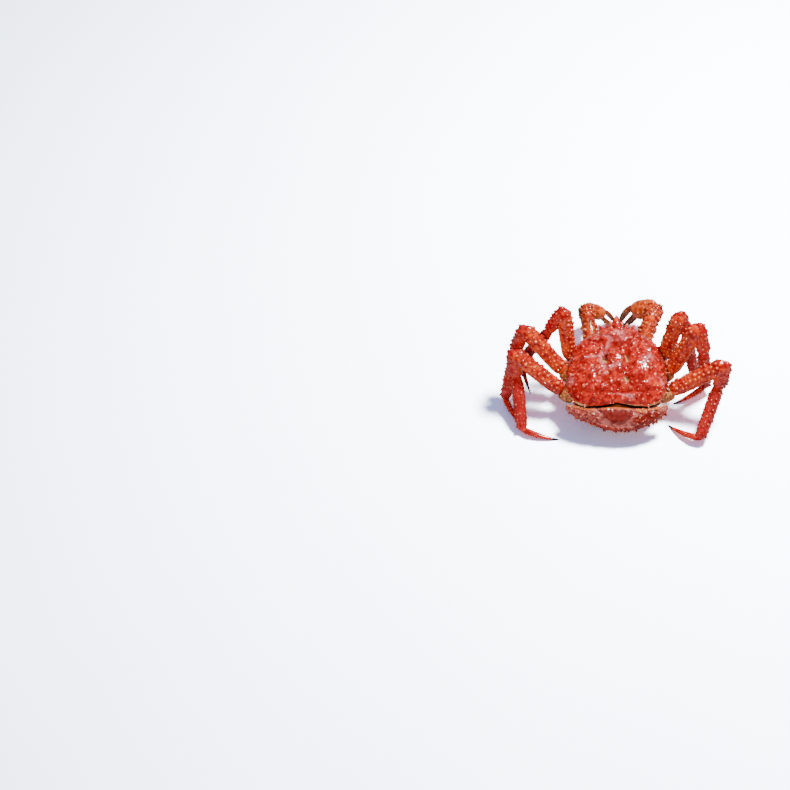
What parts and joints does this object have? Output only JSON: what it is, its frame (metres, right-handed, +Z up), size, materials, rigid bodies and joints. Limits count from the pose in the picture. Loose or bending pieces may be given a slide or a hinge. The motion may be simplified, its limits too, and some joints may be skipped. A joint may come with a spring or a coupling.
{
  "type": "red king crab",
  "caption": "Boiled red king crab as a still life-size model, legs folded at the knees, spiny domed carapace, tail plate across the rear and two claws turned in before the face.",
  "frame": {"origin": "on the floor, under the centre of the model's overall box", "axes": "+X to the crab's own right, +Y the way its head faces, +Z up"},
  "size_m": [0.4153, 0.2962, 0.1674],
  "materials": {
    "shell_red": "glossy boiled shell, orange-red with darker hollows",
    "limb_red": "glossy boiled shell, orange-red",
    "claw_orange": "satin shell, orange",
    "pale_shell": "satin, cream to orange underside and joints",
    "horn_brown": "satin horn",
    "eye_black": "polished"
  },
  "bodies": {
    "root": {"carapace": "shell_red", "thorax": "pale_shell", "abdomen_base": "shell_red", "abdomen_flap": "pale_shell", "telson": "pale_shell", "left_claw_base": "pale_shell", "left_claw_merus": "claw_orange", "left_claw_carpus": "claw_orange", "left_claw_palm": "claw_orange", "left_claw_finger": "horn_brown", "left_front_coxa": "pale_shell", "left_front_ischium": "pale_shell", "left_front_merus": "limb_red", "left_front_carpus": "limb_red", "left_front_propodus": "limb_red", "left_front_dactyl": "limb_red", "left_middle_coxa": "pale_shell", "left_middle_ischium": "pale_shell", "left_middle_merus": "limb_red", "left_middle_carpus": "limb_red", "left_middle_propodus": "limb_red", "left_middle_dactyl": "limb_red", "left_hind_coxa": "pale_shell", "left_hind_ischium": "pale_shell", "left_hind_merus": "limb_red", "left_hind_carpus": "limb_red", "left_hind_propodus": "limb_red", "left_hind_dactyl": "limb_red", "left_eye": "eye_black", "left_antenna": "limb_red", "left_antennule": "limb_red", "left_maxilliped": "pale_shell", "right_claw_base": "pale_shell", "right_claw_merus": "claw_orange", "right_claw_carpus": "claw_orange", "right_claw_palm": "claw_orange", "right_claw_finger": "horn_brown", "right_front_coxa": "pale_shell", "right_front_ischium": "pale_shell", "right_front_merus": "limb_red", "right_front_carpus": "limb_red", "right_front_propodus": "limb_red", "right_front_dactyl": "limb_red", "right_middle_coxa": "pale_shell", "right_middle_ischium": "pale_shell", "right_middle_merus": "limb_red", "right_middle_carpus": "limb_red", "right_middle_propodus": "limb_red", "right_middle_dactyl": "limb_red", "right_hind_coxa": "pale_shell", "right_hind_ischium": "pale_shell", "right_hind_merus": "limb_red", "right_hind_carpus": "limb_red", "right_hind_propodus": "limb_red", "right_hind_dactyl": "limb_red", "right_eye": "eye_black", "right_antenna": "limb_red", "right_antennule": "limb_red", "right_maxilliped": "pale_shell"}
  },
  "joints": []
}
